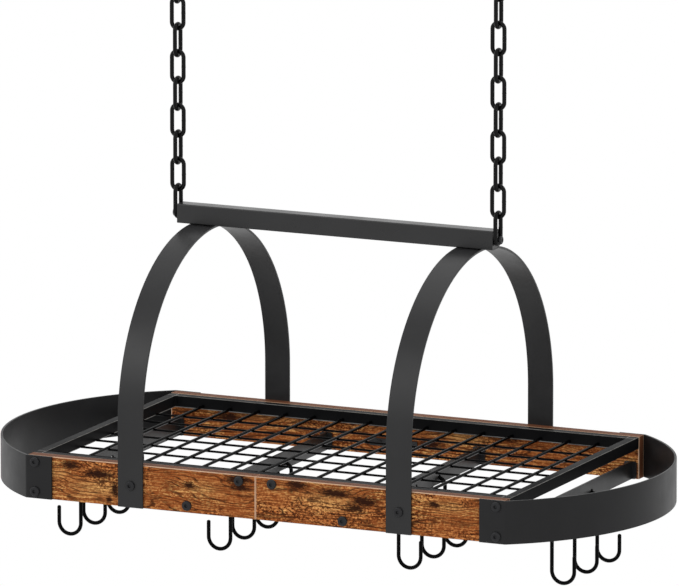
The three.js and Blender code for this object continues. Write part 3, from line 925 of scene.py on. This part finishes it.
class POTRACK_OT_arches(Operator):
    """Two arches of flat steel over the rack"""

    bl_idname = "potrack.arches"
    bl_label = "Arches"

    def execute(self, context):
        s, place = sizes(), Layout()
        spring = s.arch_top - place.face
        foot = at(s.arch_place, place.face - s.strip / 2, 0)
        piece = section("right_bent_arch", foot, (s.arch_width, s.strip, 1))
        push(z=spring)
        bend(at(0, 0, spring), (1, 0, 0), 180, BOW_STEPS)
        push(z=-spring)
        close(piece)
        soften(piece, STRIP_EDGE)
        other = twin(piece, "left_bent_arch", Matrix.Translation((-2 * s.arch_place, 0, 0)))
        finish_piece(piece, "black_steel", "right_arch")
        finish_piece(other, "black_steel", "left_arch")
        return {"FINISHED"}


class POTRACK_OT_top_bar(Operator):
    """The top bar, a rounded tube with a plate sunk into each end"""

    bl_idname = "potrack.top_bar"
    bl_label = "Top Bar"

    def execute(self, context):
        s, place = sizes(), Layout()
        half = s.bar_length / 2
        low = at(-half, -s.bar_depth / 2, place.bar_bottom)
        high = at(half, s.bar_depth / 2, place.bar_bottom + s.bar_height)
        piece = block("top_bar_tube", low, high)
        round_along(piece, "x", BAR_EDGE, segments=5)
        for side in (-1, 1):
            pick(piece, "FACE", lambda f: f.normal.x * side > 0.9)
            bpy.ops.mesh.inset(thickness=END_PLATE_RIM)
            bpy.ops.mesh.inset(thickness=END_PLATE_SLOPE, depth=-END_PLATE_SINK)
        close(piece)
        drills = []
        for side in (-1, 1):
            ends = [at(side * x, 0, place.bar_bolt) for x in (half - BAR_DRILL_DEPTH, half + MM)]
            drills.append(plain_rod(s.bolt_shank + s.gap, *ends))
        combine(piece, "DIFFERENCE", drills)
        smooth(piece, angle=30)
        finish_piece(piece, "black_steel", "top_bar", look="bar_steel")
        return {"FINISHED"}


class POTRACK_OT_shelf(Operator):
    """The shelf: a frame of rectangular tube and a grid of welded wires"""

    bl_idname = "potrack.shelf"
    bl_label = "Shelf"

    def execute(self, context):
        s, place = sizes(), Layout()
        low = at(-place.frame_end, -place.frame_face, place.frame_bottom)
        high = at(place.frame_end, place.frame_face, s.rail_height)
        piece = block("shelf_frame_tube", low, high)
        pick(piece, "FACE", lambda f: abs(f.normal.z) > 0.9)
        bpy.ops.mesh.inset(thickness=s.tube_width)
        bpy.ops.mesh.bridge_edge_loops()
        close(piece)
        soften(piece, FRAME_EDGE, segments=4)
        finish_piece(piece, "black_steel", "shelf_frame", look="shelf_tube")
        inside_x = place.frame_end - s.tube_width
        inside_y = place.frame_face - s.tube_width
        long_z = place.frame_bottom + s.long_wire / 2
        depth_z = long_z + (s.long_wire + s.depth_wire) / 2 - WELD_SINK
        wires = []
        for x in even_places(inside_x - WIRE_MARGIN, s.depth_spacing):
            ends = at(x, -inside_y, depth_z), at(x, inside_y, depth_z)
            wires.append(plain_rod(s.depth_wire / 2, *ends, GRID_WIRE_SIDES))
        for y in even_places(inside_y - WIRE_MARGIN, s.long_spacing):
            ends = at(-inside_x, y, long_z), at(inside_x, y, long_z)
            wires.append(plain_rod(s.long_wire / 2, *ends, GRID_WIRE_SIDES))
        grid = smooth(gather("shelf_grid_wires", wires), angle=60)
        finish_piece(grid, "black_steel", "shelf_grid", look="shelf_wire")
        return {"FINISHED"}


def even_places(reach, spacing):
    """As many places as fit within the reach to either side, one of them in the middle."""
    count = math.floor(reach / spacing + 1e-6)
    return [i * spacing for i in range(-count, count + 1)]


class POTRACK_OT_cross_bars(Operator):
    """Four cross bars on edge, each with a tab at both ends and three holes for hooks"""

    bl_idname = "potrack.cross_bars"
    bl_label = "Cross Bars"

    def execute(self, context):
        s, place = sizes(), Layout()
        low, high = CROSS_BAR_LIFT, CROSS_BAR_LIFT + s.cross_bar_height
        tab_inside = place.frame_face - s.strip
        x0, x1 = s.cross_bar_offset - s.strip / 2, s.cross_bar_offset + s.strip / 2
        reach = tab_inside + TAB_OVERLAP
        piece = close(block("cross_bar_model", at(x0, -reach, low), at(x1, reach, high)))
        drills = []
        for y in place.hook_rows:
            ends = at(x0 - MM, y, HOOK_HOLE_HEIGHT), at(x1 + MM, y, HOOK_HOLE_HEIGHT)
            drills.append(plain_rod(HOOK_HOLE_RADIUS, *ends, ROUND_SIDES))
        combine(piece, "DIFFERENCE", drills)
        tabs = []
        half = s.cross_bar_tab / 2
        for side in (-1, 1):
            y0, y1 = sorted((side * tab_inside, side * place.frame_face))
            tab = block("tab", at(-half, y0, low), at(half, y1, high))
            round_along(tab, "y", CROSS_BAR_CORNER, segments=5)
            tabs.append(close(tab))
        combine(piece, "UNION", tabs)
        soften(piece, CROSS_BAR_EDGE, segments=2, angle=50)
        for index, x in enumerate(place.cross_bars, 1):
            bar = twin(piece, f"cross_bar_{index}_plate", Matrix.Translation((x, 0, 0)))
            finish_piece(bar, "black_steel", f"cross_bar_{index}")
        remove(piece)
        return {"FINISHED"}


class POTRACK_OT_hooks(Operator):
    """Twelve hooks, each bent from one wire with rounded ends"""

    bl_idname = "potrack.hooks"
    bl_label = "Hooks"

    def execute(self, context):
        s, place = sizes(), Layout()
        seat = HOOK_HOLE_HEIGHT - HOOK_HOLE_RADIUS + s.gap + s.hook_wire / 2
        collar = seat - s.collar_radius * math.cos(SEAT_ANGLE)
        bowl_x = s.collar_radius + s.bowl_radius
        bowl_z = collar - s.hook_shank
        piece = disc("hook_model", at(-s.collar_radius, 0, collar - COLLAR_LEG), s.hook_wire)
        push(z=COLLAR_LEG)
        bend(at(0, 0, collar), (0, 1, 0), 180, steps=24)
        push(z=-s.hook_shank)
        bend(at(bowl_x, 0, bowl_z), (0, 1, 0), -180, steps=32)
        push(z=TIP_RISE)
        round_rims(piece, lambda f: len(f.verts) > 4, s.hook_wire * WIRE_TIP, segments=5)
        close(piece)
        smooth(piece, angle=60)
        for bar, x in enumerate(place.cross_bars, 1):
            turn = Matrix.Rotation(math.pi if x < 0 else 0, 4, "Z")
            for row, y in enumerate(place.hook_rows, 1):
                move = Matrix.Translation((x + s.cross_bar_offset, y, 0)) @ turn
                name = f"hook_{bar}_{row}"
                hook = twin(piece, f"{name}_wire", move)
                finish_piece(hook, "black_hook", name, body=f"{name}_body")
        remove(piece)
        return {"FINISHED"}


class POTRACK_OT_chains(Operator):
    """Two chains of welded links, each link a quarter turn from the next"""

    bl_idname = "potrack.chains"
    bl_label = "Chains"

    def execute(self, context):
        s, place = sizes(), Layout()
        radius = (s.chain_inner + s.chain_wire) / 2
        low = radius - s.chain_wire / 2
        straight = s.chain_pitch + s.gap - 2 * low
        piece = begin(
            "link_model",
            bpy.ops.mesh.primitive_torus_add,
            (0, 0, low),
            rotation=(math.pi / 2, 0, 0),
            major_segments=48,
            minor_segments=WIRE_SIDES,
            major_radius=radius,
            minor_radius=s.chain_wire / 2,
        )
        pick(piece, "FACE", lambda f: f.calc_center_median().z > low)
        for run in (straight / 2 - LINK_WELD, LINK_WELD, LINK_WELD, straight / 2 - LINK_WELD):
            push(z=run)
        # the weld: a slight swelling half way up one side
        height = low + straight / 2
        pick(piece, "VERT", lambda v: v.co.x > 0 and abs(v.co.z - height) < LINK_WELD / 4)
        swell = (LINK_WELD_SWELL, LINK_WELD_SWELL, 1)
        bpy.ops.transform.resize(value=swell, center_override=(radius, 0, height))
        close(piece)
        smooth(piece, angle=60)
        for name, side in SIDES.items():
            for index in range(s.links):
                turn = Matrix.Rotation(math.pi / 2 if index % 2 == 0 else 0, 4, "Z")
                where = at(side * place.chain_place, 0, place.chain_start + index * s.chain_pitch)
                node = f"{name}_chain_link_{index + 1:02d}"
                ends = {0: f"{name}_bottom_link", s.links - 1: f"{name}_top_link"}
                link = twin(piece, f"{node}_welded", Matrix.Translation(where) @ turn)
                finish_piece(link, "black_chain", node, body=ends.get(index, f"{name}_chain"))
        remove(piece)
        return {"FINISHED"}


class POTRACK_OT_ceiling_hooks(Operator):
    """Two ceiling hooks, each an open hook under a drilled flange"""

    bl_idname = "potrack.ceiling_hooks"
    bl_label = "Ceiling Hooks"

    def execute(self, context):
        place = Layout()
        bowl = -CEILING_RADIUS - CEILING_STEM
        reach = CEILING_RADIUS + CEILING_BEND
        neck = math.sqrt(reach**2 - CEILING_BEND**2)
        turn = math.degrees(math.atan2(neck, CEILING_BEND))
        piece = disc("ceiling_hook_model", (0, 0, -FLANGE_THICKNESS / 2), CEILING_ROD)
        push(z=bowl + neck + FLANGE_THICKNESS / 2)
        bend((0, CEILING_BEND, bowl + neck), (1, 0, 0), turn, steps=10)
        bend((0, 0, bowl), (1, 0, 0), -turn - CEILING_SWEEP, steps=36)

        def is_tip(face):
            return len(face.verts) > 4 and face.calc_center_median().z < bowl / 2

        round_rims(piece, is_tip, CEILING_ROD * WIRE_TIP, segments=5)
        close(piece)
        flange = rod("flange", FLANGE_RADIUS, (0, 0, -FLANGE_THICKNESS), (0, 0, 0), FLANGE_SIDES)
        pick(flange, "EDGE", lambda e: all(v.co.z < -FLANGE_THICKNESS / 2 for v in e.verts))
        bevel(FLANGE_EDGE, segments=4)
        close(flange)
        drills = []
        for x in (-FLANGE_HOLE_OFFSET, FLANGE_HOLE_OFFSET):
            ends = (x, 0, -2 * FLANGE_THICKNESS), (x, 0, FLANGE_THICKNESS)
            drills.append(plain_rod(FLANGE_HOLE, *ends))
        combine(flange, "DIFFERENCE", drills)
        combine(piece, "UNION", [flange])
        smooth(piece, angle=40)
        for name, side in SIDES.items():
            move = Matrix.Translation((side * place.chain_place, 0, 0))
            hook = twin(piece, f"{name}_ceiling_hook_rod", move)
            finish_piece(hook, "black_chain", f"{name}_ceiling_hook", body="ceiling_hooks")
        remove(piece)
        return {"FINISHED"}


class POTRACK_OT_bolts(Operator):
    """Socket-head bolts through the bands, arches, boards and bar"""

    bl_idname = "potrack.bolts"
    bl_label = "Bolts"

    def execute(self, context):
        s, place = sizes(), Layout()
        # a shank ends behind a cross bar's tab, behind the wall of the shelf's tube, or in a board
        outside, inside = place.face, place.board_face + s.gap
        deep, shallow = outside - place.frame_face, inside - place.frame_face
        to_tab, to_tube = s.strip + BOLT_RUN_OUT, TUBE_WALL + BOLT_RUN_OUT
        rows = []
        for name, side in SIDES.items():
            tab, foot = side * place.tab_bolt, side * s.arch_place
            seam, cross = s.seam_place + side * SEAM_BOLT_OFFSET, side * s.cross_bar_place
            foot_shank = s.strip + s.gap + ARCH_BOLT_DEPTH - BOLT_RUN_OUT
            rows += [
                (f"{name}_tab_low", tab, LOW_BOLT, outside, deep + to_tab),
                (f"{name}_tab_high", tab, HIGH_BOLT, outside, deep + to_tube),
                (f"{name}_arch_foot", foot, ARCH_BOLT, outside, foot_shank),
                (f"{name}_cross_bar", cross, LOW_BOLT, inside, shallow + to_tab),
                (f"seam_bolt_{name}", seam, HIGH_BOLT, inside, shallow + to_tube),
            ]
        for name, x, z, seat, shank in rows:
            model = model_bolt(s.bolt_head, HEAD_HEIGHT, s.bolt_shank, shank)
            for face, side in FACES.items():
                turn = bolt_turn((0, side, 0), at(x, side * seat, z))
                bolt = twin(model, f"{face}_{name}_head", turn)
                nodes = [f"{face}_{name}"] if name.startswith("seam") else []
                finish_piece(bolt, "black_bolt", *nodes)
            remove(model)
        up_shank = s.strip + s.gap + TUBE_WALL + BOLT_RUN_OUT
        up = model_bolt(s.bolt_head, HEAD_HEIGHT, s.bolt_shank, up_shank)
        reach = s.gap + s.chain_wire + 2 * s.gap
        head = CHAIN_HEAD_RADIUS, CHAIN_HEAD_HEIGHT
        across = model_bolt(*head, s.bolt_shank, reach + CHAIN_BOLT_DEPTH)
        for name, side in SIDES.items():
            turn = bolt_turn((0, 0, -1), at(side * s.arch_place, 0, s.arch_top - s.strip))
            finish_piece(twin(up, f"{name}_arch_top_bolt", turn), "black_bolt")
            turn = bolt_turn((side, 0, 0), at(side * (s.bar_length / 2 + reach), 0, place.bar_bolt))
            bolt = twin(across, f"{name}_chain_bolt_head", turn)
            finish_piece(bolt, "black_bolt", f"{name}_chain_bolt")
        remove(up)
        remove(across)
        return {"FINISHED"}


class POTRACK_OT_seam_plates(Operator):
    """A plate with two screws behind each seam"""

    bl_idname = "potrack.seam_plates"
    bl_label = "Seam Plates"

    def execute(self, context):
        s, place = sizes(), Layout()
        inside = place.frame_face - PLATE_THICKNESS
        x0, x1 = s.seam_place - PLATE_HALF_LENGTH, s.seam_place + PLATE_HALF_LENGTH
        z0, z1 = PLATE_PLACE - PLATE_HALF_HEIGHT, PLATE_PLACE + PLATE_HALF_HEIGHT
        shank = PLATE_THICKNESS + s.gap + SCREW_DEPTH
        screw = model_bolt(SCREW_HEAD_RADIUS, SCREW_HEAD_HEIGHT, SCREW_SHANK, shank)
        for face, side in FACES.items():
            low, high = sorted((side * inside, side * place.frame_face))
            piece = block(f"{face}_seam_strip", at(x0, low, z0), at(x1, high, z1))
            round_along(piece, "y", PLATE_CORNER, segments=4)
            close(piece)
            soften(piece, PLATE_EDGE, segments=2)
            finish_piece(piece, "black_steel", f"{face}_seam_plate")
            for name, across in SIDES.items():
                where = at(s.seam_place + across * SCREW_OFFSET, side * inside, PLATE_PLACE)
                head = twin(screw, f"{face}_seam_screw_{name}", bolt_turn((0, -side, 0), where))
                finish_piece(head, "black_bolt")
        remove(screw)
        return {"FINISHED"}


# ---- stage ----
# the camera: place, target and far limit in metres, lens and sensor in millimetres
CAMERA_PLACE = Vector((6.3875, -13.8719, 2.5708))
CAMERA_AIM = Vector((-0.0192, 0.0490, -0.4944))
CAMERA_LENS = 645.2
CAMERA_SENSOR = 36
CAMERA_CLIP = 200
LAMP_AIM = Vector((0, 0, -0.6))
# name, power in watts, size in metres, place
LAMPS = (
    ("key_lamp", 34, 2.2, (-2.6, -3.2, 1.6)),
    ("fill_lamp", 14, 2.4, (3.4, -2.6, 0.6)),
    ("top_lamp", 16, 2.6, (0.2, 0.6, 2.4)),
)
# the floor: how far it is below the rack, its size in metres and its tone away from the camera
FLOOR_DROP = 0.9
FLOOR_SIZE = 60
FLOOR_TONE = (0.8, 0.8, 0.8)
# how strongly the sky lights the rack
SKY_STRENGTH = 0.45
WHITE = {0: (1, 1, 1, 1), 1: 1.0}


class POTRACK_OT_stage(Operator):
    """Floor, background, lamps and camera"""

    bl_idname = "potrack.stage"
    bl_label = "Stage"

    def execute(self, context):
        ground = (0, 0, cad_box[0][2] - FLOOR_DROP)
        floor = close(begin("floor", bpy.ops.mesh.primitive_plane_add, ground, size=FLOOR_SIZE))
        material = bpy.data.materials.new("pale_floor")
        lit = ("ShaderNodeBsdfDiffuse", {0: (*FLOOR_TONE, 1)})
        white_to_camera(material, ("ShaderNodeEmission", WHITE), lit, "ShaderNodeOutputMaterial")
        floor.data.materials.append(material)
        world = bpy.data.worlds.new("studio")
        lit = ("ShaderNodeBackground", WHITE | {1: SKY_STRENGTH})
        white_to_camera(world, ("ShaderNodeBackground", WHITE), lit, "ShaderNodeOutputWorld")
        context.scene.world = world
        for name, energy, size, place in LAMPS:
            bpy.ops.object.light_add(type="AREA", location=place)
            lamp = context.object
            lamp.name = name
            lamp.data.energy = energy
            lamp.data.size = size
            aim(lamp, LAMP_AIM)
        bpy.ops.object.camera_add(location=CAMERA_PLACE)
        camera = context.object
        camera.data.lens = CAMERA_LENS
        camera.data.sensor_width = CAMERA_SENSOR
        camera.data.clip_end = CAMERA_CLIP
        aim(camera, CAMERA_AIM)
        context.scene.camera = camera
        context.scene.view_settings.view_transform = "Standard"
        return {"FINISHED"}


def white_to_camera(block, white, lit, output):
    """Makes a material or world white to the camera, gloss and glass, and lit as given to all else.

    White and lit are each a kind of node with its inputs.
    """
    block.use_nodes = True
    block.node_tree.nodes.clear()
    g = Graph(block.node_tree)
    path = g.add("ShaderNodeLightPath").outputs
    seen = g.most(path["Is Camera Ray"], path["Is Glossy Ray"], path["Is Transmission Ray"])
    white, lit = (g.add(*shader).outputs[0] for shader in (white, lit))
    mix = g.add("ShaderNodeMixShader", {0: seen, 1: lit, 2: white})
    g.add(output, {"Surface": mix.outputs[0]})


def aim(thing, target):
    """Turns a lamp or camera towards a point, upright."""
    thing.rotation_euler = (target - thing.location).to_track_quat("-Z", "Y").to_euler()


OPERATORS = (
    POTRACK_OT_stage,
    POTRACK_OT_boards,
    POTRACK_OT_end_bands,
    POTRACK_OT_arches,
    POTRACK_OT_top_bar,
    POTRACK_OT_shelf,
    POTRACK_OT_cross_bars,
    POTRACK_OT_hooks,
    POTRACK_OT_chains,
    POTRACK_OT_ceiling_hooks,
    POTRACK_OT_bolts,
    POTRACK_OT_seam_plates,
)


class POTRACK_PT_pieces(Panel):
    """Lists the rack's sizes, colours and pieces"""

    bl_label = "Pot Rack"
    bl_idname = "POTRACK_PT_pieces"
    bl_space_type = "VIEW_3D"
    bl_region_type = "UI"
    bl_category = "Pot Rack"

    def draw(self, context):
        layout = self.layout
        for operator in OPERATORS:
            layout.operator(operator.bl_idname)
        for settings in (context.scene.pot_rack_sizes, context.scene.pot_rack_looks):
            box = layout.box()
            for key in settings.__annotations__:
                box.prop(settings, key)


CLASSES = (PotRackSizes, PotRackLooks, *OPERATORS, POTRACK_PT_pieces)


def register():
    for cls in CLASSES:
        bpy.utils.register_class(cls)
    bpy.types.Scene.pot_rack_sizes = PointerProperty(type=PotRackSizes)
    bpy.types.Scene.pot_rack_looks = PointerProperty(type=PotRackLooks)


def unregister():
    del bpy.types.Scene.pot_rack_looks
    del bpy.types.Scene.pot_rack_sizes
    for cls in reversed(CLASSES):
        bpy.utils.unregister_class(cls)


def main():
    register()
    for operator in OPERATORS:
        family, name = operator.bl_idname.split(".")
        getattr(getattr(bpy.ops, family), name)()


if __name__ == "__main__":
    main()
